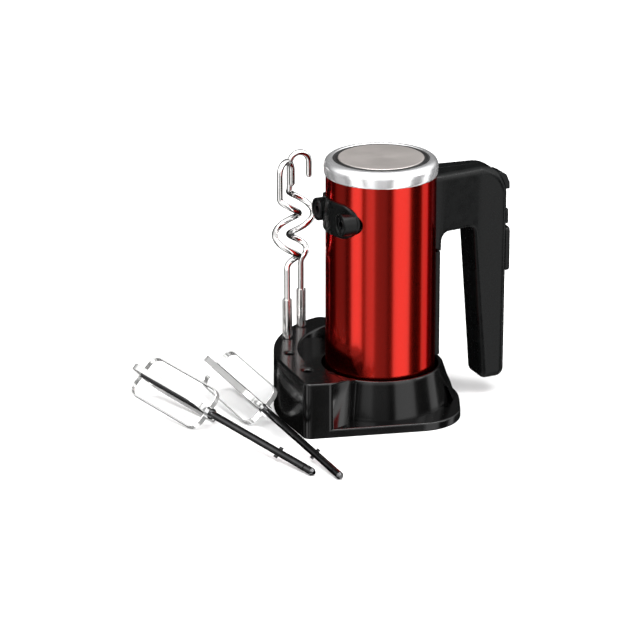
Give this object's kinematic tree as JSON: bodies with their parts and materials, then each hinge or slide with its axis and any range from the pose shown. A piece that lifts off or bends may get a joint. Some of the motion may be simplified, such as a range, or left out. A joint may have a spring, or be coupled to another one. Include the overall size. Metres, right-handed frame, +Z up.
{
  "type": "hand mixer",
  "caption": "Corded hand mixer with a cylindrical red body and an open handle, upright in a black storage stand, with dough hooks and strip beaters.",
  "frame": {"origin": "the cup's axis at the stand's underside, which is also the standing mixer's axis", "axes": "+Z up out of the cup, +X towards the mixer's handle, -X towards its drive sockets"},
  "size_m": [0.2687, 0.2084, 0.1908],
  "materials": {
    "stand_black": "gloss black moulding",
    "black_plastic": "satin black moulding",
    "black_rubber": "matt rubber",
    "red_lacquer": "metallic red lacquer over steel sheet",
    "chrome": "polished chrome",
    "brushed_disc": "brushed",
    "bright_steel": "turned steel",
    "lamination": "stamped laminations",
    "copper": "enamelled copper wire and copper bars",
    "bronze": "sintered bronze and brass",
    "carbon": "matt black",
    "natural_plastic": "natural nylon"
  },
  "bodies": {
    "stand": {"stand_housing": "stand_black", "stand_bottom_cover": "black_plastic", "stand_screws": "bright_steel", "stand_feet": "black_rubber", "cup_pad": "black_rubber"},
    "mixer": {"body_sleeve": "red_lacquer", "top_ring": "chrome", "disc_gasket": "black_rubber", "top_disc": "brushed_disc", "rear_cap": "black_plastic", "rear_cap_screws": "bright_steel", "socket_plate": "black_plastic", "back_spine": "black_plastic", "handle_left_shell": "black_plastic", "handle_right_shell": "black_plastic", "handle_screws": "bright_steel", "speed_bezel": "black_plastic", "cable_gland": "black_rubber", "motor_frame": "natural_plastic", "gearbox_cover": "natural_plastic", "stator_core": "lamination", "field_coils": "copper", "brush_holders": "bronze", "carbon_brushes": "carbon", "brush_springs": "bright_steel", "shaft_bearings": "bronze", "spindle_bushes": "bronze", "speed_switch": "carbon", "turbo_switch": "carbon", "eject_spring": "bright_steel", "turbo_spring": "bright_steel"},
    "armature": {"motor_shaft": "bright_steel", "worm": "bright_steel", "armature_core": "lamination", "armature_winding": "copper", "commutator": "copper", "cooling_fan": "natural_plastic"},
    "spindle_left": {"drive_spindle_left": "bright_steel", "worm_wheel_left": "natural_plastic"},
    "spindle_right": {"drive_spindle_right": "bright_steel", "worm_wheel_right": "natural_plastic"},
    "ejector": {"eject_button": "black_plastic", "ejector_rod": "natural_plastic", "ejector_yoke": "natural_plastic"},
    "turbo": {"turbo_button": "black_plastic"},
    "speed": {"speed_slider": "black_plastic"},
    "hook_front": {"hook_front_rod": "chrome", "hook_front_shank": "chrome"},
    "hook_back": {"hook_back_rod": "chrome", "hook_back_shank": "chrome"},
    "beater_left": {"beater_left_shaft": "chrome", "beater_left_blades": "chrome", "beater_left_collar": "chrome"},
    "beater_right": {"beater_right_shaft": "chrome", "beater_right_blades": "chrome", "beater_right_collar": "chrome"}
  },
  "joints": [
    {"name": "mixer_lift", "type": "slide", "parent": "stand", "child": "mixer", "axis": [0, 0, 1], "range_m": [0, 0.08]},
    {"name": "armature_spin", "type": "hinge", "parent": "mixer", "child": "armature", "pos_m": [0, 0, 0.1], "axis": [0, 0, 1], "continuous": true},
    {"name": "spindle_left_spin", "type": "hinge", "parent": "mixer", "child": "spindle_left", "pos_m": [0, 0.0206, 0.1506], "axis": [1, 0, 0], "continuous": true},
    {"name": "spindle_right_spin", "type": "hinge", "parent": "mixer", "child": "spindle_right", "pos_m": [0, -0.0206, 0.1506], "axis": [1, 0, 0], "continuous": true},
    {"name": "eject_press", "type": "slide", "parent": "mixer", "child": "ejector", "axis": [-1, 0, 0], "range_m": [0, 0.004], "stiffness_N_per_m": 500, "springref_m": -0.003, "deforming": ["eject_spring"]},
    {"name": "turbo_press", "type": "slide", "parent": "mixer", "child": "turbo", "axis": [-1, 0, 0], "range_m": [0, 0.0025], "stiffness_N_per_m": 600, "springref_m": -0.002, "deforming": ["turbo_spring"]},
    {"name": "speed_slide", "type": "slide", "parent": "mixer", "child": "speed", "axis": [0, 0, 1], "range_m": [-0.008, 0.008]},
    {"name": "hook_front_lift", "type": "slide", "parent": "stand", "child": "hook_front", "axis": [0, 0, 1], "range_m": [0, 0.06]},
    {"name": "hook_back_lift", "type": "slide", "parent": "stand", "child": "hook_back", "axis": [0, 0, 1], "range_m": [0, 0.06]},
    {"name": "beater_left_lift", "type": "slide", "parent": "stand", "child": "beater_left", "axis": [0, 0, 1], "range_m": [0, 0.1]},
    {"name": "beater_right_lift", "type": "slide", "parent": "stand", "child": "beater_right", "axis": [0, 0, 1], "range_m": [0, 0.1]}
  ],
  "couplings": [
    {"joint": "spindle_left_spin", "follows": "armature_spin", "ratio": 0.041667},
    {"joint": "spindle_right_spin", "follows": "armature_spin", "ratio": -0.041667}
  ]
}
